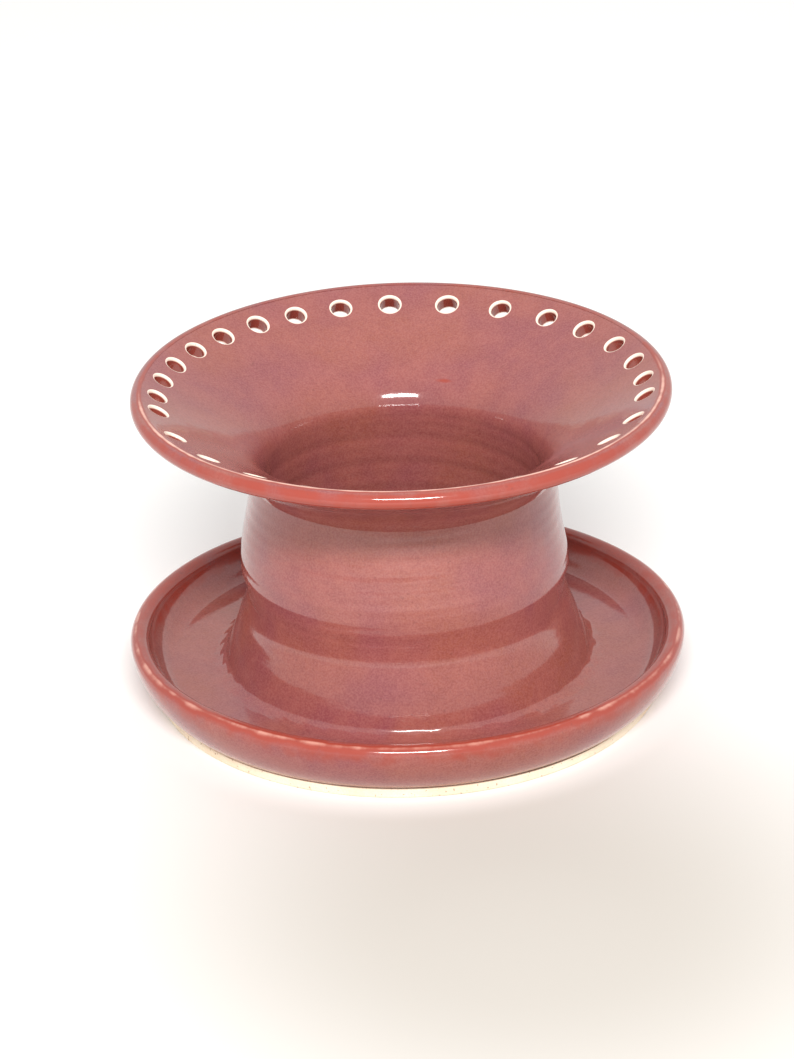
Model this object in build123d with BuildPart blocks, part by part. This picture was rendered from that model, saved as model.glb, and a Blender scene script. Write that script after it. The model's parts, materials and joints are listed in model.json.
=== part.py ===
from build123d import *
import os
from math import cos, radians, sin

# A hand-thrown ceramic flower frog: a saucer, a waist and a flared collar with a ring of stem holes.
# The pot stands on its turned foot. Its origin is the centre of the foot's underside,
# +Z is the axis it was thrown around, and -Y is its front. Every length is in millimetres.

# Foot: the bare clay ring that the pot rests on
foot_radius = 79.5
foot_inner_radius = 71.0
foot_height = 3.0
foot_round = 0.7

# Saucer: base, moat, lip and the raised throat that carries the waist
base_thickness = 5.6
moat_floor = foot_height + base_thickness
moat_inner_radius = 61.5
moat_outer_radius = 73.5
lip_centre_radius = 84.1
lip_height = 16.8
lip_half_thickness = 2.9
cone_foot = Vector(57.1, 11.0)
throat_radius = 49.2
throat_inner_radius = 43.4
well_floor_radius = 44.0
well_floor = 8.2

# Waist: the thrown cylinder between the saucer's throat and the collar
seam_low = 33.0
belly_height = 41.0
belly_radius = 51.0
seam_high = 71.4
neck_radius = 47.3
neck_inner_radius = 42.4

# Collar: the plain funnel, then the outer ring that has the stem holes and the rounded rim
collar_join_radius = 69.0
collar_join_height = 240.0
rim_centre = Vector(81.4, 98.5)
rim_half_thickness = 2.6
flare_angle = 28.0
funnel_mid = Vector(52.0, 84.8)
underside_mid = Vector(54.0, 80.0)

# Stem holes: one ring, spaced by eye, each leaning in at its top
hole_radius = 3.1
hole_ring_radius = 75.1
hole_ring_height = 95.2
hole_lean = 22.0
first_hole = -2.0
hole_gaps = (
    14.5, 14, 13.5, 12.5, 13, 12, 11, 10, 14, 13.5,
    15, 15, 15, 15, 14.5, 14.5, 14.5, 15, 16,
    9, 10, 10, 10.5, 11, 11.5, 11, 12, 12.5,
)
punch_length = 12.0

# Directions (radial, vertical) in which the section's curves leave and reach their ends
upward = (0, 1)
downward = (0, -1)
inward = (-1, 0)
saucer_spread = (0.75, 0.66)
lip_rise = (0.05, 1)
lip_fall = (-0.2, -1)
cone_rise = (-0.36, 1)
well_fall = (0.12, -1)
waist_swell = (0.5, 1)
collar_swell = (0.35, 1)

os.makedirs("parts", exist_ok=True)


def hole_plane(bearing):
    """The mid-wall plane of the stem hole at this bearing, in degrees clockwise from the back."""
    outward = Vector(sin(radians(bearing)), cos(radians(bearing)), 0)
    centre = outward * hole_ring_radius + Vector(0, 0, hole_ring_height)
    axis = outward * -sin(radians(hole_lean)) + Vector(0, 0, cos(radians(hole_lean)))
    return Plane(origin=centre, x_dir=outward.cross(Vector(0, 0, 1)), z_dir=axis)


# Foot ring: a flat band whose lower edges are sponged round
with BuildPart() as foot_ring:
    with BuildSketch(Plane.XY):
        Circle(foot_radius)
        Circle(foot_inner_radius, mode=Mode.SUBTRACT)
    extrude(amount=foot_height)
    fillet(foot_ring.faces().sort_by(Axis.Z)[0].edges(), foot_round)

# Saucer: one revolved section, read from the base outwards, over the lip and back to the well
with BuildPart() as saucer:
    with BuildSketch(Plane.XZ):
        with BuildLine():
            Line((0, foot_height), (foot_radius, foot_height))
            Spline(
                (foot_radius, foot_height),
                (lip_centre_radius + lip_half_thickness, lip_height),
                tangents=(saucer_spread, lip_rise),
            )
            ThreePointArc(
                (lip_centre_radius + lip_half_thickness, lip_height),
                (lip_centre_radius, lip_height + lip_half_thickness),
                (lip_centre_radius - lip_half_thickness, lip_height),
            )
            Spline(
                (lip_centre_radius - lip_half_thickness, lip_height),
                (moat_outer_radius, moat_floor),
                tangents=(lip_fall, inward),
            )
            Line((moat_outer_radius, moat_floor), (moat_inner_radius, moat_floor))
            Spline(
                (moat_inner_radius, moat_floor),
                cone_foot,
                tangents=(inward, cone_rise),
            )
            Line(cone_foot, (throat_radius, seam_low))
            Line((throat_radius, seam_low), (throat_inner_radius, seam_low))
            Spline(
                (throat_inner_radius, seam_low),
                (well_floor_radius, well_floor),
                tangents=(well_fall, inward),
            )
            Line((well_floor_radius, well_floor), (0, well_floor))
            Line((0, well_floor), (0, foot_height))
        make_face()
    revolve(axis=Axis.Z)

# Waist: a hollow cylinder that swells above its lower seam and narrows to the neck
with BuildPart() as waist:
    with BuildSketch(Plane.XZ):
        with BuildLine():
            Spline(
                (throat_radius, seam_low),
                (belly_radius, belly_height),
                (neck_radius, seam_high),
                tangents=(waist_swell, upward),
            )
            Line((neck_radius, seam_high), (neck_inner_radius, seam_high))
            Line((neck_inner_radius, seam_high), (throat_inner_radius, seam_low))
            Line((throat_inner_radius, seam_low), (throat_radius, seam_low))
        make_face()
    revolve(axis=Axis.Z)

# Collar: the whole wall, thrown as one curve and rounded over at the rim
flare = Vector(cos(radians(flare_angle)), sin(radians(flare_angle)))
across = Vector(-flare.Y, flare.X) * rim_half_thickness
with BuildPart() as collar:
    with BuildSketch(Plane.XZ):
        with BuildLine():
            Spline(
                (neck_radius, seam_high),
                underside_mid,
                rim_centre - across,
                tangents=(collar_swell, flare),
            )
            ThreePointArc(
                rim_centre - across,
                rim_centre + flare * rim_half_thickness,
                rim_centre + across,
            )
            Spline(
                rim_centre + across,
                funnel_mid,
                (neck_inner_radius, seam_high),
                tangents=(-flare, downward),
            )
            Line((neck_inner_radius, seam_high), (neck_radius, seam_high))
        make_face()
    revolve(axis=Axis.Z)

# Funnel: the plain wall inside the ring of stem holes
with BuildPart() as funnel:
    add(collar.part)
    Cylinder(collar_join_radius, collar_join_height, mode=Mode.INTERSECT)

# Stem collar: the outer ring, punched around
with BuildPart() as stem_collar:
    add(collar.part)
    Cylinder(collar_join_radius, collar_join_height, mode=Mode.SUBTRACT)
    bearings = [first_hole + sum(hole_gaps[:count]) for count in range(len(hole_gaps))]
    with BuildSketch(*[hole_plane(bearing) for bearing in bearings]):
        Circle(hole_radius)
    extrude(amount=punch_length / 2, both=True, mode=Mode.SUBTRACT)

foot_ring.part.label = "foot_ring"
saucer.part.label = "saucer"
waist.part.label = "waist"
funnel.part.label = "funnel"
stem_collar.part.label = "stem_collar"

export_step(foot_ring.part, "parts/foot_ring.step")
export_step(saucer.part, "parts/saucer.step")
export_step(waist.part, "parts/waist.step")
export_step(funnel.part, "parts/funnel.step")
export_step(stem_collar.part, "parts/stem_collar.step")
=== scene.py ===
import json
from math import cos, pi, radians, sin

import bmesh
import bpy
import numpy as np
from mathutils import Matrix, Vector


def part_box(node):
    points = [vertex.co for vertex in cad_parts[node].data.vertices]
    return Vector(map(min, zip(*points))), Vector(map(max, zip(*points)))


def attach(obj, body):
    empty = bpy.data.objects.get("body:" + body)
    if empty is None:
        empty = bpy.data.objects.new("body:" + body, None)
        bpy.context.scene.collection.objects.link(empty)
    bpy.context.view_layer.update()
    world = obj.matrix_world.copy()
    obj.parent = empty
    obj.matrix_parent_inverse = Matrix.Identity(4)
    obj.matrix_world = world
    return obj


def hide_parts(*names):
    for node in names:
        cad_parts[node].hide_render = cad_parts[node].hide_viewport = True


# A glazed ceramic flower frog. Shapes are worked out in millimetres and stored in metres.
MM = 0.001
TURN = 2 * pi

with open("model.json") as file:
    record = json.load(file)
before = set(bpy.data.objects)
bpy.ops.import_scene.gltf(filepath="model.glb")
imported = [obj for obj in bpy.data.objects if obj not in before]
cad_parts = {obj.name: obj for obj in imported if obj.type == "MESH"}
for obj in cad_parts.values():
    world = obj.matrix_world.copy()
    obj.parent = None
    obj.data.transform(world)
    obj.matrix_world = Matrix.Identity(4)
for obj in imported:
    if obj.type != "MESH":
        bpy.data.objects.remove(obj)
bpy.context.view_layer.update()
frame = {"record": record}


def node_top_mm(node):
    """The highest x and z of a CAD node: its largest radius and its top, in millimetres."""
    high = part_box(node)[1] / MM
    return high.x, high.z


foot_radius, foot_height = node_top_mm("foot_ring")
lip_radius, seam_low = node_top_mm("saucer")
belly_radius, seam_high = node_top_mm("waist")
rim_radius, rim_top = node_top_mm("stem_collar")
stem_holes = [mount for mount in frame["record"]["mounts"] if mount["kind"] == "bore"]


# ---------------------------------------------------------------- camera
def make_camera(place, elevation, roll, lens):
    """Looks along +Y and down by the elevation. A positive roll lifts the right of the picture."""
    look = Vector((0, cos(elevation), -sin(elevation)))
    right = Vector((1, 0, 0))
    up = Vector((0, sin(elevation), cos(elevation)))
    across = right * cos(roll) - up * sin(roll)
    over = right * sin(roll) + up * cos(roll)
    camera = bpy.data.objects.new("camera", bpy.data.cameras.new("camera"))
    camera.data.lens = lens
    camera.data.sensor_width = 36
    camera.data.clip_start = 0.05
    turn = Matrix((across, over, -look)).transposed()
    camera.matrix_world = Matrix.Translation(place) @ turn.to_4x4()
    bpy.context.scene.collection.objects.link(camera)
    bpy.context.scene.camera = camera


make_camera(place=(-0.0024, -0.8452, 0.4435), elevation=radians(24.95), roll=radians(1.68), lens=102)


# ---------------------------------------------------------------- shapes
def smooth(x, low, high):
    """0 below low, 1 above high, and a soft step between."""
    t = np.clip((x - low) / (high - low), 0, 1)
    return t * t * (3 - 2 * t)


def swell(x, centre, width):
    """1 at the centre, and fading to nothing on both sides over about twice the width."""
    return np.exp(-(((x - centre) / width) ** 2))


def wobble(bearing, seed):
    """A seeded, uneven wave that closes on itself around the pot, within about -1 to 1."""
    rng = np.random.default_rng(seed)
    orders = (2, 3, 5, 8, 13)
    waves = [rng.uniform(0.4, 1) / n**0.5 * np.cos(n * bearing + rng.uniform(0, TURN)) for n in orders]
    return sum(waves) / 2


def hermite(t, start, leave, end, reach):
    """A cubic for t from 0 to 1, given its ends and its slopes there."""
    first = (2 * t**3 - 3 * t**2 + 1) * start + (t**3 - 2 * t**2 + t) * leave
    return first + (3 * t**2 - 2 * t**3) * end + (t**3 - t**2) * reach


def curve(start, leave, end, reach, count):
    """A cubic from start to end that leaves and arrives in the given directions, without its last point."""
    start, end = np.array(start, float), np.array(end, float)
    chord = np.linalg.norm(end - start)
    leave = np.array(leave, float) / np.hypot(*leave) * chord
    reach = np.array(reach, float) / np.hypot(*reach) * chord
    t = np.linspace(0, 1, count, endpoint=False)[:, None]
    return hermite(t, start, leave, end, reach)


def straight(start, end, count):
    t = np.linspace(0, 1, count, endpoint=False)[:, None]
    return np.array(start, float) * (1 - t) + np.array(end, float) * t


def arc(centre, radius, first, last, count):
    """Angles in degrees, from the outward radius towards +Z, without the last point."""
    angles = np.radians(np.linspace(first, last, count, endpoint=False))
    return np.stack([centre[0] + radius * np.cos(angles), centre[1] + radius * np.sin(angles)], 1)


def cylinder_points(radius, bearing, height):
    """Bearings run from the back (+Y) towards +X, in radians."""
    return np.stack(np.broadcast_arrays(radius * np.sin(bearing), radius * np.cos(bearing), height), -1)


def lathe(profile, bearings, closed):
    """Turns a profile of (radius, height) about Z. An open profile starts and ends on the axis."""
    inner = profile if closed else profile[1:-1]
    rings, around = len(inner), len(bearings)
    grid = cylinder_points(inner[:, :1], bearings[None, :], inner[:, 1:]).reshape(-1, 3)
    faces = []
    for ring in range(rings if closed else rings - 1):
        low, high = ring * around, (ring + 1) % rings * around
        for a in range(around):
            b = (a + 1) % around
            faces.append((low + a, low + b, high + b, high + a))
    if closed:
        return grid, faces
    poles = np.array([[0, 0, profile[0, 1]], [0, 0, profile[-1, 1]]])
    last = (rings - 1) * around
    for a in range(around):
        b = (a + 1) % around
        faces.append((len(grid), a, b))
        faces.append((len(grid) + 1, last + b, last + a))
    return np.concatenate([grid, poles]), faces


def polar(points):
    """Each point's radius and bearing."""
    return np.hypot(points[:, 0], points[:, 1]), np.arctan2(points[:, 0], points[:, 1])


def make_piece(name, points, faces, layers, nodes, material):
    """Makes the mesh that stands for the CAD nodes. The layers are values per point, for the material."""
    mesh = bpy.data.meshes.new(name)
    mesh.from_pydata((points * MM).tolist(), [], faces)
    for layer_name, values in layers.items():
        attribute = mesh.attributes.new(layer_name, "FLOAT", "POINT")
        attribute.data.foreach_set("value", np.asarray(values, np.float32))
    shape = bmesh.new()
    shape.from_mesh(mesh)
    bmesh.ops.recalc_face_normals(shape, faces=shape.faces)
    shape.to_mesh(mesh)
    shape.free()
    mesh.polygons.foreach_set("use_smooth", [True] * len(mesh.polygons))
    mesh.set_sharp_from_angle(angle=radians(50))
    mesh.materials.append(material)
    piece = bpy.data.objects.new(name, mesh)
    bpy.context.scene.collection.objects.link(piece)
    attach(piece, "root")
    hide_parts(*nodes)
    return piece


# ---------------------------------------------------------------- materials
def add_node(tree, kind, inputs=(), **settings):
    """Adds a node, sets its properties, and sets or links its inputs by name or number."""
    made = tree.nodes.new(kind)
    for key, value in settings.items():
        setattr(made, key, value)
    for key, value in dict(inputs).items():
        if isinstance(value, bpy.types.NodeSocket):
            tree.links.new(value, made.inputs[key])
        else:
            made.inputs[key].default_value = value
    return made


def linear(red, green, blue):
    """A display colour of 0 to 255 as the linear one that the shader takes."""
    parts = [c / 255 for c in (red, green, blue)]
    return tuple(c / 12.92 if c <= 0.04045 else ((c + 0.055) / 1.055) ** 2.4 for c in parts) + (1,)


def noise(tree, size_mm, detail, stretch=(1, 1, 1)):
    """Noise between 0 and 1 whose features are about size_mm across."""
    place = add_node(tree, "ShaderNodeTexCoord").outputs["Object"]
    scaled = add_node(tree, "ShaderNodeMapping", {"Vector": place, "Scale": stretch})
    inputs = {"Vector": scaled.outputs["Vector"], "Scale": 1 / (size_mm * MM), "Detail": detail}
    return add_node(tree, "ShaderNodeTexNoise", inputs).outputs["Fac"]


def spread(tree, value, low, high, to_low=0.0, to_high=1.0):
    """A soft step from to_low to to_high, as the value goes from low to high."""
    inputs = {"Value": value, "From Min": low, "From Max": high, "To Min": to_low, "To Max": to_high}
    made = add_node(tree, "ShaderNodeMapRange", inputs, interpolation_type="SMOOTHSTEP")
    return made.outputs["Result"]


def arithmetic(tree, operation, first, second):
    made = add_node(tree, "ShaderNodeMath", {0: first, 1: second}, operation=operation)
    return made.outputs[0]


def mix(tree, factor, first, second, blend="MIX"):
    made = tree.nodes.new("ShaderNodeMix")
    made.data_type = "RGBA"
    made.blend_type = blend
    for socket, value in ((made.inputs[0], factor), (made.inputs[6], first), (made.inputs[7], second)):
        if isinstance(value, bpy.types.NodeSocket):
            tree.links.new(value, socket)
        else:
            socket.default_value = value
    return made.outputs[2]


def layer(tree, name):
    """The value that make_piece stored at each point under this name."""
    return add_node(tree, "ShaderNodeAttribute", attribute_name=name).outputs["Fac"]


def new_material(name):
    material = bpy.data.materials.new(name)
    material.use_nodes = True
    return material, material.node_tree, material.node_tree.nodes["Principled BSDF"]


def make_glaze(name):
    """Dusty-rose glaze. The thin layer runs from full glaze, through orange-red, to pale salmon; besides thin
    glaze it carries painted highlights on the crests and a painted reflection in the funnel.
    """
    mauve, brick, rose = linear(136, 71, 76), linear(147, 80, 68), linear(156, 88, 81)
    dark_mottle, light_grain, dark_speck = linear(132, 66, 66), linear(182, 122, 114), linear(110, 60, 56)
    orange_red, salmon_and_highlight = linear(154, 63, 50), linear(234, 180, 162)
    hole_wall, hole_edge = linear(136, 62, 52), linear(250, 228, 212)
    material, tree, shader = new_material(name)
    clouds = spread(tree, noise(tree, 34, 3), 0.38, 0.62)
    patches = spread(tree, noise(tree, 9, 4), 0.35, 0.65)
    mottle = spread(tree, noise(tree, 1.5, 5), 0.3, 0.7)
    grain = spread(tree, noise(tree, 0.55, 3), 0.3, 0.7)
    body = mix(tree, clouds, mauve, brick)
    body = mix(tree, arithmetic(tree, "MULTIPLY", patches, 0.55), body, rose)
    body = mix(tree, arithmetic(tree, "MULTIPLY", mottle, 0.42), body, dark_mottle)
    body = mix(tree, arithmetic(tree, "MULTIPLY", grain, 0.26), body, light_grain)
    thin_and_painted_light = layer(tree, "thin_and_painted_light")
    blotches = spread(tree, noise(tree, 7, 4), 0.3, 0.7, -0.14, 0.1)
    uneven = arithmetic(tree, "ADD", thin_and_painted_light, blotches)
    warm = spread(tree, uneven, 0.08, 0.5)
    # The pale salmon end is mostly painted highlight, along the rim and lip crests
    pale_and_highlight = spread(tree, uneven, 0.55, 1.05)
    body = mix(tree, warm, body, orange_red)
    body = mix(tree, pale_and_highlight, body, salmon_and_highlight)
    body = mix(tree, spread(tree, layer(tree, "wall"), 0.3, 0.9), body, hole_wall)
    body = mix(tree, spread(tree, layer(tree, "bare"), 0.25, 0.75), body, hole_edge)
    speck = spread(tree, noise(tree, 1.1, 0), 0.77, 0.8)
    body = mix(tree, arithmetic(tree, "MULTIPLY", speck, 0.25), body, dark_speck)
    tree.links.new(body, shader.inputs["Base Color"])
    tree.links.new(spread(tree, noise(tree, 6, 3), 0.3, 0.7, 0.07, 0.13), shader.inputs["Roughness"])
    shader.inputs["IOR"].default_value = 1.58
    peel = arithmetic(tree, "ADD", noise(tree, 4.5, 2), arithmetic(tree, "MULTIPLY", mottle, 0.12))
    bump = add_node(tree, "ShaderNodeBump", {"Height": peel, "Strength": 0.35, "Distance": 0.0001})
    tree.links.new(bump.outputs["Normal"], shader.inputs["Normal"])
    return material


def make_bare_clay(name):
    """Unglazed cream stoneware: fine grog, a few iron specks and faint turning lines."""
    cream, pale_cream, dark_grog, iron = (
        linear(236, 216, 190), linear(243, 229, 206), linear(214, 192, 164), linear(150, 112, 84))
    material, tree, shader = new_material(name)
    cloud = spread(tree, noise(tree, 12, 3), 0.35, 0.65)
    grog = spread(tree, noise(tree, 0.5, 4), 0.3, 0.7)
    body = mix(tree, cloud, cream, pale_cream)
    body = mix(tree, arithmetic(tree, "MULTIPLY", grog, 0.3), body, dark_grog)
    speck = spread(tree, noise(tree, 0.9, 0), 0.75, 0.79)
    body = mix(tree, arithmetic(tree, "MULTIPLY", speck, 0.7), body, iron)
    tree.links.new(body, shader.inputs["Base Color"])
    tree.links.new(spread(tree, grog, 0, 1, 0.75, 0.92), shader.inputs["Roughness"])
    turning = noise(tree, 0.6, 1, (0.06, 0.06, 1))
    height = arithmetic(tree, "ADD", grog, turning)
    bump = add_node(tree, "ShaderNodeBump", {"Height": height, "Strength": 0.5, "Distance": 0.00015})
    tree.links.new(bump.outputs["Normal"], shader.inputs["Normal"])
    return material


# ---------------------------------------------------------------- foot
FOOT_WIDTH = 8.5
FOOT_INNER = foot_radius - FOOT_WIDTH


def make_foot():
    """The bare ring: sponged corners, a hand-trimmed outer wall that isn't quite round."""
    corner = 0.7
    profile = np.concatenate([
        straight((FOOT_INNER, foot_height), (FOOT_INNER, corner), 6),
        arc((FOOT_INNER + corner, corner), corner, 180, 270, 6),
        straight((FOOT_INNER + corner, 0), (foot_radius - corner, 0), 16),
        arc((foot_radius - corner, corner), corner, 270, 360, 6),
        straight((foot_radius, corner), (foot_radius, foot_height), 8),
        straight((foot_radius, foot_height), (FOOT_INNER, foot_height), 16),
    ])
    bearings = np.linspace(0, TURN, 360, endpoint=False)
    points, faces = lathe(profile, bearings, closed=True)
    radius, bearing = polar(points)
    trimmed = -0.35 * (0.5 + 0.5 * wobble(bearing, 11)) * smooth(radius, FOOT_INNER + 1, foot_radius)
    scale = (radius + trimmed) / radius
    points[:, :2] *= scale[:, None]
    make_piece("bare_foot", points, faces, {}, ["foot_ring"], make_bare_clay("bare_clay"))


# ---------------------------------------------------------------- saucer
LIP_HALF = 2.9           # half the lip's thickness, and the radius of its rounded crest
LIP_CENTRE = (lip_radius - LIP_HALF, 16.8)
MOAT_FLOOR = foot_height + 5.6
MOAT_RADII = (61.5, 73.5)
CONE_FOOT = (57.1, 11.0)
CONE_SLOPE = -0.36       # how the cone's radius changes with height
THROAT_RADIUS = 49.2
THROAT_INNER = 43.4
WELL_FLOOR = 8.2
WELL_RADIUS = 44.0


def make_saucer():
    outer, inner = LIP_CENTRE[0] + LIP_HALF, LIP_CENTRE[0] - LIP_HALF
    lip_height = LIP_CENTRE[1]
    profile = np.concatenate([
        straight((0, foot_height), (foot_radius, foot_height), 30),
        curve((foot_radius, foot_height), (0.75, 0.66), (outer, lip_height), (0.05, 1), 30),
        arc(LIP_CENTRE, LIP_HALF, 0, 180, 24),
        curve((inner, lip_height), (-0.2, -1), (MOAT_RADII[1], MOAT_FLOOR), (-1, 0), 26),
        straight((MOAT_RADII[1], MOAT_FLOOR), (MOAT_RADII[0], MOAT_FLOOR), 14),
        curve((MOAT_RADII[0], MOAT_FLOOR), (-1, 0), CONE_FOOT, (CONE_SLOPE, 1), 16),
        straight(CONE_FOOT, (THROAT_RADIUS, seam_low), 44),
        straight((THROAT_RADIUS, seam_low), (THROAT_INNER, seam_low), 6),
        curve((THROAT_INNER, seam_low), (0.12, -1), (WELL_RADIUS, WELL_FLOOR), (-1, 0), 34),
        straight((WELL_RADIUS, WELL_FLOOR), (0, WELL_FLOOR), 26),
        [(0, WELL_FLOOR)],
    ])
    bearings = np.linspace(0, TURN, 400, endpoint=False)
    points, faces = lathe(profile, bearings, closed=False)
    radius, bearing = polar(points)
    height = points[:, 2].copy()
    outside = radius > 47    # everything but the well and its wall

    # The lip dips at the back, and its crest is uneven
    on_lip = smooth(radius, 62, lip_radius - 4) * smooth(height, foot_height, 14)
    points[:, 2] += on_lip * (-0.0071 * points[:, 1] - 0.0017 * points[:, 0] + 0.22 * wobble(bearing, 21))
    # The glaze ends in an uneven line just above the foot
    glaze_edge = swell(radius, foot_radius, 1.2) * (height < foot_height + 2) * (radius > foot_radius - 3)
    points[:, 2] += glaze_edge * 0.45 * (0.6 + wobble(bearing, 22))
    # Throwing rings in the moat and on the cone
    ring_phase = radius * 0.8 + 2.2 * np.sin(bearing) + wobble(bearing, 23)
    in_moat = smooth(radius, 52, 57) * (1 - smooth(radius, 68, 75)) * (height > MOAT_FLOOR - 1)
    points[:, 2] += 0.012 * np.sin(ring_phase) * in_moat
    cone = smooth(height, 14, 20) * (1 - smooth(height, 29, seam_low)) * outside
    change = 0.04 * np.sin(height * 0.9 + bearing) * cone
    change += smoothed_over(radius, height, bearing) * outside
    points[:, :2] *= 1 + (change / np.maximum(radius, 1))[:, None]
    # Slip left in small lumps around the foot of the cone
    lumps = np.sin(31 * bearing + 0.9 * radius) * np.sin(2.1 * radius + 7 * bearing)
    lumps += 0.6 * np.sin(47 * bearing + 1)
    points[:, 2] += 0.09 * lumps * swell(radius, 58.8, 2.6) * (height < 14) * (height > MOAT_FLOOR - 1)
    # Squeezed a little, front to back
    points[:, 1] *= 1 - 0.006 * smooth(radius, 60, lip_radius)

    # The lip's pale crest: thin glaze, with a painted highlight along it
    crest_and_highlight = swell(radius, LIP_CENTRE[0] + 1.3, 0.9) * smooth(height, 16.5, 18.2)
    inner_wall = smooth(radius, 75, 79.5) * (1 - smooth(radius, 83.5, 85)) * smooth(height, 11, 15)
    end_face = smooth(radius, 85.5, 86.6) * smooth(height, 11, 17)
    thin_and_painted_light = np.clip(0.4 * inner_wall + 0.3 * end_face + 0.74 * crest_and_highlight, 0, 1)
    layers = {"thin_and_painted_light": thin_and_painted_light, "wall": np.zeros(len(points)), "bare": np.zeros(len(points))}
    make_piece("glazed_saucer", points, faces, layers, ["saucer"], make_glaze("saucer_glaze"))


# ---------------------------------------------------------------- waist
NECK_RADIUS = 47.3
NECK_INNER = 42.4
BELLY_HEIGHT = 41.0
SMOOTHED = (26.0, 42.0)  # heights between which the front of the seam is smoothed over


def front_share(bearing):
    """1 around the front, and 0 at the sides and the back."""
    return smooth(0.5 - 0.5 * np.cos(bearing), 0.5, 0.8)


def smoothed_over(radius, height, bearing):
    """How far the wall moves out, in mm, where the front of the seam was smoothed over."""
    low, high = SMOOTHED
    on_cone = CONE_FOOT[0] + (THROAT_RADIUS - CONE_FOOT[0]) * (low - CONE_FOOT[1]) / (seam_low - CONE_FOOT[1])
    t = np.clip((height - low) / (high - low), 0, 1)
    soft = hermite(t, on_cone, CONE_SLOPE * (high - low), belly_radius, 0)
    return front_share(bearing) * (soft - radius) * (t > 0) * (t < 1)


def make_waist():
    profile = np.concatenate([
        curve((THROAT_RADIUS, seam_low), (0.5, 1), (belly_radius, BELLY_HEIGHT), (0, 1), 34),
        curve((belly_radius, BELLY_HEIGHT), (0, 1), (NECK_RADIUS, seam_high), (0, 1), 90),
        straight((NECK_RADIUS, seam_high), (NECK_INNER, seam_high), 6),
        straight((NECK_INNER, seam_high), (THROAT_INNER, seam_low), 90),
        straight((THROAT_INNER, seam_low), (THROAT_RADIUS, seam_low), 6),
    ])
    bearings = np.linspace(0, TURN, 360, endpoint=False)
    points, faces = lathe(profile, bearings, closed=True)
    radius, bearing = polar(points)
    height = points[:, 2]
    outside = smooth(radius, 45.2, 46.2)
    ends = smooth(height, seam_low, seam_low + 2) * (1 - smooth(height, seam_high - 3, seam_high))

    # The wall rolls under at its foot, except at the front, and is drawn in a little on the right
    right = (0.5 + 0.5 * np.sin(bearing)) ** 3
    climb = 1.2 * np.cos(bearing)
    change = -0.8 * (1 - front_share(bearing)) * smooth(height, seam_low, 37)
    change *= 1 - smooth(height, 37.8 + climb, 40.4 + climb)
    change -= 0.55 * right * swell(height, 53.0, 7.5)
    # Soft throwing rings at uneven heights
    rings = ((36.5, 0.06, 0.9), (44.0, 0.05, 1.2), (49.2, 0.05, 1.0), (60.5, 0.04, 1.6))
    for ring_height, depth, width in rings:
        uneven_depth = depth * (0.7 + 0.5 * wobble(bearing, int(ring_height)))
        change -= uneven_depth * swell(height, ring_height + climb, width)
    change += 0.03 * np.sin(height * 1.5 + 2 * bearing)
    inner = 0.1 * np.sin(height * 0.62 + bearing) + 0.04 * np.sin(height * 1.4 + 2 * bearing + 1)
    change = np.where(outside > 0.5, change, inner) * ends
    change += outside * smoothed_over(radius, height, bearing)
    points[:, :2] *= ((radius + change) / radius)[:, None]
    # The waist stands a little to the left of the collar and the saucer
    points[:, 0] -= 0.35 * swell(height, 50, 12) * ends
    none = np.zeros(len(points))
    layers = {"thin_and_painted_light": 0.12 * outside * right * swell(height, 46 + climb, 1.2), "wall": none, "bare": none}
    make_piece("glazed_waist", points, faces, layers, ["waist"], make_glaze("waist_glaze"))


# ---------------------------------------------------------------- collar
RIM_HALF = 2.6
FLARE = radians(28)
RIM_CENTRE = (rim_radius - RIM_HALF, rim_top - RIM_HALF)
FUNNEL_MID = (52.0, 84.8)
UNDERSIDE_MID = (54.0, 80.0)
BAND = 6.3               # half the width of the band that the stem holes are in, along the radius
CELL = 12                # columns, and rows, of the cell around each hole
ARRIS = 0.7              # rounding of each hole's edges
OVAL = 0.021             # the rim is wider from front to back, and narrower from side to side


def oval(radius, bearing):
    """How much a radius grows at this bearing. Bearings start at the back, where the rim is widest."""
    return 1 + OVAL * np.cos(2 * bearing) * smooth(radius, 58, rim_radius)


def collar_curves():
    """The funnel and the underside, as tables of radius and height up to the start of the rim's arc."""
    slope = (cos(FLARE), sin(FLARE))
    across = (-sin(FLARE) * RIM_HALF, cos(FLARE) * RIM_HALF)
    top = (RIM_CENTRE[0] + across[0], RIM_CENTRE[1] + across[1])
    bottom = (RIM_CENTRE[0] - across[0], RIM_CENTRE[1] - across[1])
    mid_slope = (cos(FLARE) * 0.98, sin(FLARE) * 1.1)
    funnel = np.concatenate([
        curve((NECK_INNER, seam_high), (0, 1), FUNNEL_MID, mid_slope, 60),
        curve(FUNNEL_MID, mid_slope, top, slope, 120),
        [top],
    ])
    underside = np.concatenate([
        curve((NECK_RADIUS, seam_high), (0.35, 1), UNDERSIDE_MID, (0.8, 0.62), 40),
        curve(UNDERSIDE_MID, (0.8, 0.62), bottom, slope, 120),
        [bottom],
    ])
    return funnel, underside


FUNNEL, UNDERSIDE = collar_curves()


def funnel_rings(radius, bearing):
    """Faint throwing rings in the middle of the funnel."""
    return 0.008 * np.sin(radius * 0.8 + bearing * 2) * smooth(radius, 47, 52) * (1 - smooth(radius, 60, 68))


def funnel_height(radius, bearing):
    return np.interp(radius, *FUNNEL.T) + funnel_rings(radius, bearing)


def underside_height(radius, bearing):
    """The underside is the same at every bearing."""
    return np.interp(radius, *UNDERSIDE.T)


def meet(base, axis, height):
    """Where lines along the hole's axis reach a surface, found by halving the stretch that crosses it."""
    low, high = np.full(len(base), -9.0), np.full(len(base), 9.0)
    for _ in range(34):
        middle = (low + high) / 2
        point = base + middle[:, None] * axis
        above = point[:, 2] > height(*polar(point))
        high = np.where(above, middle, high)
        low = np.where(above, low, middle)
    return base + ((low + high) / 2)[:, None] * axis


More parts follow.
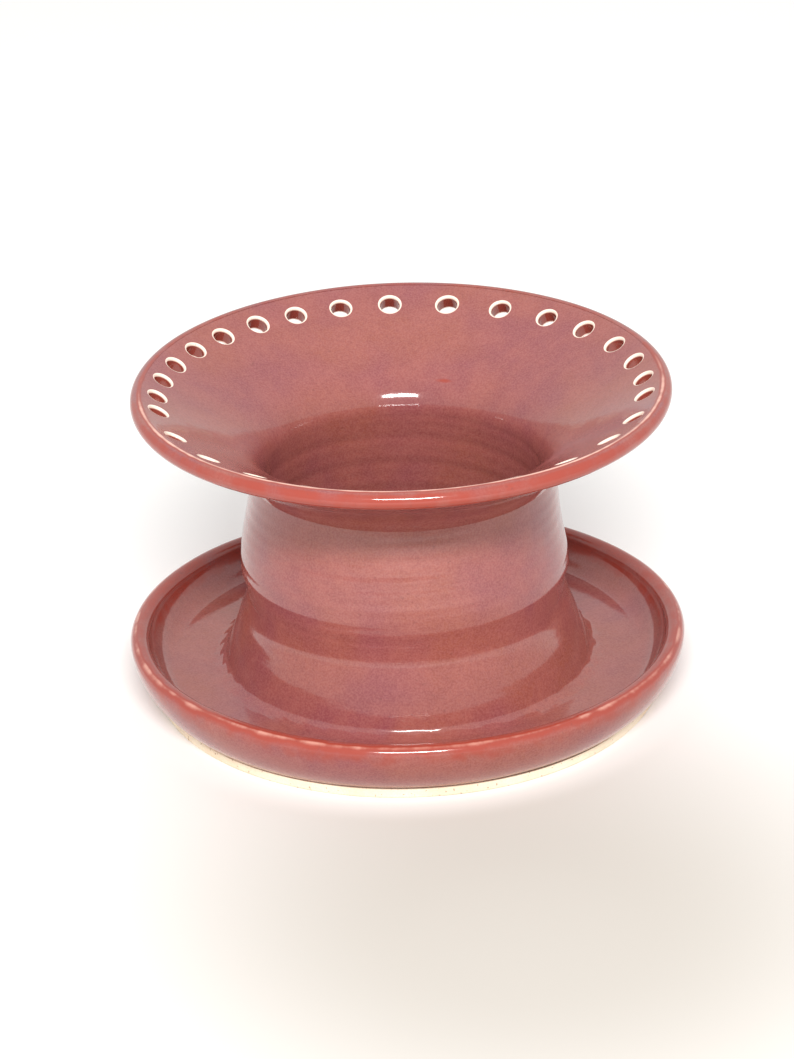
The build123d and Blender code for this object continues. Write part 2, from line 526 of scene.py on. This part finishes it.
class Shell:
    """Points, faces and layer values of a mesh that is put together ring by ring."""

    def __init__(self):
        self.points, self.bare, self.wall, self.faces, self.count = [], [], [], [], 0

    def add(self, points, bare=0.0, wall=0.0):
        """Adds points, and returns their numbers in the mesh."""
        first = self.count
        self.points.append(points)
        self.bare.append(np.full(len(points), bare))
        self.wall.append(np.full(len(points), wall))
        self.count += len(points)
        return np.arange(first, self.count)

    def join(self, low, high):
        """Quads between two closed rings of the same length."""
        for a in range(len(low)):
            b = (a + 1) % len(low)
            self.faces.append((int(low[a]), int(low[b]), int(high[b]), int(high[a])))

    def join_rows(self, rows):
        """Quads between each ring and the next."""
        for low, high in zip(rows, rows[1:]):
            self.join(low, high)


def cell_edges():
    """The bearing half-way between each hole and the one before it, in rising order around the pot."""
    rising = np.unwrap([np.arctan2(hole["pos_m"][0], hole["pos_m"][1]) for hole in stem_holes])
    before = np.roll(rising, 1)
    before[0] -= TURN
    return (rising + before) / 2


def add_side(shell, height, low_row, high_row, edges, band):
    """Fills the band of stem holes on one side of the wall, and returns each hole's innermost ring."""
    count = len(edges)
    radii = np.linspace(*band, CELL + 1)[1:-1]
    columns = [shell.add(cylinder_points(radii, edge, height(radii, edge))) for edge in edges]
    points = np.concatenate(shell.points)
    rings = []
    for i in range(count):
        after = (i + 1) % count
        span = np.arange(i * CELL, (i + 1) * CELL + 1) % (count * CELL)
        border = np.concatenate([low_row[span], columns[after], high_row[span][::-1], columns[i][::-1]])
        rings.append(surround_hole(i, shell, border, points[border], height))
    return rings


def hole_frame(hole):
    """A hole's centre, axis, and two directions across it, in millimetres and before the rim is made oval."""
    centre = np.array(hole["pos_m"]) / MM
    bearing = np.arctan2(centre[0], centre[1])
    radius = np.hypot(centre[0], centre[1])
    centre[:2] /= oval(radius, bearing)
    axis = np.array(hole["axis"])
    side = np.array([cos(bearing), -sin(bearing), 0])
    return centre, axis, side, np.cross(axis, side)


HOLE_FRAMES = [hole_frame(hole) for hole in stem_holes]


def mean_radius(height):
    """The mean radius at which the holes' axes meet a surface."""
    middles = [meet(centre[None], axis, height)[0] for centre, axis, _, _ in HOLE_FRAMES]
    return float(np.mean([np.hypot(middle[0], middle[1]) for middle in middles]))


def surround_hole(index, shell, border, edge_points, height):
    """Rings from the cell's border in to the hole, then over its rounded edge."""
    centre, axis, side, rise = HOLE_FRAMES[index]
    hole_radius = stem_holes[index]["dims"]["r_mm"]
    rng = np.random.default_rng(100 + index)
    size = hole_radius * rng.uniform(0.97, 1.03)
    stretch = rng.uniform(-0.035, 0.035)
    turn = rng.uniform(0, TURN)
    into_wall = -1 if height is funnel_height else 1
    away = edge_points - meet(centre[None], axis, height)
    angle = np.arctan2(away @ rise, away @ side)

    def ring_at(radius):
        reach = radius * (1 + stretch * np.cos(2 * (angle - turn)))
        base = centre + reach[:, None] * (np.cos(angle)[:, None] * side + np.sin(angle)[:, None] * rise)
        return meet(base, axis, height)

    last = border
    start_radius, start_bearing = polar(edge_points)
    circle = ring_at(size + ARRIS + 1.2)
    end_radius, end_bearing = polar(circle)
    end_bearing = start_bearing + np.remainder(end_bearing - start_bearing + pi, TURN) - pi
    for share in (0.3, 0.6, 0.85):
        radius = start_radius * (1 - share) + end_radius * share
        bearing = start_bearing * (1 - share) + end_bearing * share
        ring = shell.add(cylinder_points(radius, bearing, height(radius, bearing)))
        shell.join(last, ring)
        last = ring
    for gap, bare in ((1.2, 0.0), (0.7, 0.0), (0.35, 0.0), (0.12, 0.1), (0.0, 0.35)):
        ring = shell.add(ring_at(size + ARRIS + gap), bare)
        shell.join(last, ring)
        last = ring
    for angle_in in (12, 25, 40, 56, 72, 90):
        fall = ARRIS * (1 - cos(radians(angle_in)))
        points = ring_at(size + ARRIS * (1 - sin(radians(angle_in)))) + into_wall * fall * axis
        ring = shell.add(points, 1.0 if angle_in < 80 else 0.55, 0.6)
        shell.join(last, ring)
        last = ring
    return last


def make_collar():
    shell = Shell()
    edges = cell_edges()
    ahead = np.append(edges[1:], edges[0] + TURN)
    bearings = np.concatenate([np.linspace(a, b, CELL, endpoint=False) for a, b in zip(edges, ahead)])

    def row(radius, z):
        return shell.add(cylinder_points(np.full(len(bearings), radius), bearings, z))

    mouth = mean_radius(funnel_height)
    exit_radius = mean_radius(underside_height)
    top_band = (mouth - BAND, mouth + BAND)
    under_band = (exit_radius - BAND, min(exit_radius + BAND, UNDERSIDE[-1, 0] - 0.3))

    # Up the funnel to the band of holes
    lower = FUNNEL[FUNNEL[:, 0] < top_band[0] - 0.3]
    rows = []
    for radius, z in lower[::2]:
        rows.append(row(radius, z + funnel_rings(radius, bearings)))
    rows.append(row(top_band[0], funnel_height(top_band[0], bearings)))
    shell.join_rows(rows)
    funnel_foot, funnel_low = rows[0], rows[-1]

    # From the band, over the rim, and back to the band on the underside
    rows = [row(top_band[1], funnel_height(top_band[1], bearings))]
    upper = FUNNEL[FUNNEL[:, 0] > top_band[1] + 0.2]
    rows += [row(radius, z) for radius, z in upper[::2]]
    arc_start = 90 + np.degrees(FLARE)
    rim = arc(RIM_CENTRE, RIM_HALF, arc_start - 5, arc_start - 180, 34)
    rows += [row(radius, z) for radius, z in rim]
    below = UNDERSIDE[UNDERSIDE[:, 0] > under_band[1] + 0.15][::-1]
    rows += [row(radius, z) for radius, z in below[::2]]
    rows.append(row(under_band[1], underside_height(under_band[1], bearings)))
    shell.join_rows(rows)
    funnel_high, under_high = rows[0], rows[-1]

    # From the band down the underside to the neck, and across the hidden joint to the funnel's foot
    rows = [row(under_band[0], underside_height(under_band[0], bearings))]
    rows += [row(radius, z) for radius, z in UNDERSIDE[UNDERSIDE[:, 0] < under_band[0] - 0.3][::-2]]
    rows += [row(NECK_RADIUS, seam_high), row((NECK_RADIUS + NECK_INNER) / 2, seam_high)]
    shell.join_rows(rows + [funnel_foot])
    under_low = rows[0]

    tops = add_side(shell, funnel_height, funnel_low, funnel_high, edges, top_band)
    bottoms = add_side(shell, underside_height, under_low, under_high, edges, under_band)
    points = np.concatenate(shell.points)
    for top, bottom in zip(tops, bottoms):
        high, low = points[top], points[bottom]
        last = top
        for share in (0.12, 0.3, 0.5, 0.7, 0.88):
            ring = shell.add(high * (1 - share) + low * share, 0.2 if share < 0.2 else 0.0, 1.0)
            shell.join(last, ring)
            last = ring
        shell.join(last, bottom)

    points = np.concatenate(shell.points)
    radius, bearing = polar(points)
    height = points[:, 2].copy()
    ideal_radius = radius.copy()
    points[:, :2] *= oval(radius, bearing)[:, None]
    lift = smooth(radius, 55, rim_radius)
    points[:, 2] += lift * (0.0028 * points[:, 1] + 0.0025 * points[:, 0] - 0.45 + 0.1 * wobble(bearing, 31))

    # Painted highlight along the rim's inner crest, over a pale line of thin glaze
    crest_and_highlight = np.hypot(ideal_radius - (RIM_CENTRE[0] - 0.4), height - (RIM_CENTRE[1] + RIM_HALF))
    crest_and_highlight = np.exp(-((crest_and_highlight / 0.95) ** 2))
    end_face = smooth(ideal_radius, RIM_CENTRE[0] + 0.6, RIM_CENTRE[0] + 1.8)
    # The painted highlight is strongest towards the front, which faces the light
    lit_front = 0.3 + 0.7 * smooth(-np.cos(bearing), -0.6, 0.4)
    # A small painted reflection at the back of the funnel: an orange streak beside its highlight
    painted_streak = swell(height, 81.2, 0.5) * swell(bearing, radians(17), radians(5)) * (radius < 50)
    thin_and_painted_light = np.clip(0.42 * end_face + 0.95 * crest_and_highlight * lit_front + 0.5 * painted_streak, 0, 1)
    layers = {"thin_and_painted_light": thin_and_painted_light, "wall": np.concatenate(shell.wall), "bare": np.concatenate(shell.bare)}
    nodes = ["funnel", "stem_collar"]
    make_piece("glazed_collar", points, shell.faces, layers, nodes, make_glaze("collar_glaze"))


make_foot()
make_saucer()
make_waist()
make_collar()


# ---------------------------------------------------------------- stage and light
def make_floor():
    """White paper, a little creamy, with painted shade in front of the pot; the shade stops short of the
    foot, leaving a bright band there as painted light.
    """
    mesh = bpy.data.meshes.new("floor")
    reach = 4.0
    corners = [(-reach, -reach, 0), (reach, -reach, 0), (reach, reach, 0), (-reach, reach, 0)]
    mesh.from_pydata(corners, [], [(0, 1, 2, 3)])
    material, tree, shader = new_material("floor_paper")
    place = add_node(tree, "ShaderNodeTexCoord").outputs["Object"]
    along = add_node(tree, "ShaderNodeSeparateXYZ", {"Vector": place}).outputs["Y"]
    distance = add_node(tree, "ShaderNodeVectorMath", {0: place}, operation="LENGTH").outputs["Value"]
    painted_shade_centre = (0.03, -0.15, 0)
    away = {0: place, 1: painted_shade_centre}
    patch = add_node(tree, "ShaderNodeVectorMath", away, operation="DISTANCE").outputs["Value"]
    # Painted shade: darker paper in a patch in front of the pot, left off close to the foot
    painted_shade = spread(tree, distance, 0.073, 0.094)
    painted_shade = arithmetic(tree, "MULTIPLY", painted_shade, spread(tree, patch, 0.03, 0.17, 1.0, 0.3))
    painted_shade = arithmetic(tree, "MULTIPLY", painted_shade, spread(tree, along, -0.08, 0.08, 1.0, 0.0))
    paper_and_shade = mix(tree, painted_shade, linear(252, 251, 250), linear(193, 188, 181))
    tree.links.new(paper_and_shade, shader.inputs["Base Color"])
    shader.inputs["Roughness"].default_value = 0.8
    shader.inputs["Specular IOR Level"].default_value = 0.2
    mesh.materials.append(material)
    floor = bpy.data.objects.new("floor", mesh)
    bpy.context.scene.collection.objects.link(floor)


def add_softbox(name, place, target, width, height, power, colour):
    light = bpy.data.lights.new(name, "AREA")
    light.shape = "RECTANGLE"
    light.size = width
    light.size_y = height
    light.energy = power
    light.color = colour
    box = bpy.data.objects.new(name, light)
    box.location = place
    box.rotation_euler = (Vector(target) - Vector(place)).to_track_quat("-Z", "Y").to_euler()
    bpy.context.scene.collection.objects.link(box)


def light_scene():
    """A white surround, and a small bright box above and behind the camera."""
    world = bpy.data.worlds.new("studio")
    world.use_nodes = True
    world.node_tree.nodes["Background"].inputs["Color"].default_value = (1.0, 0.995, 0.985, 1)
    world.node_tree.nodes["Background"].inputs["Strength"].default_value = 0.86
    bpy.context.scene.world = world
    place, target = (0.02, -1.15, 1.0), (0, 0, 0.05)
    add_softbox("front_box", place, target, width=0.6, height=0.15, power=22, colour=(1, 0.985, 0.965))


make_floor()
light_scene()
bpy.context.scene.view_settings.view_transform = "Standard"
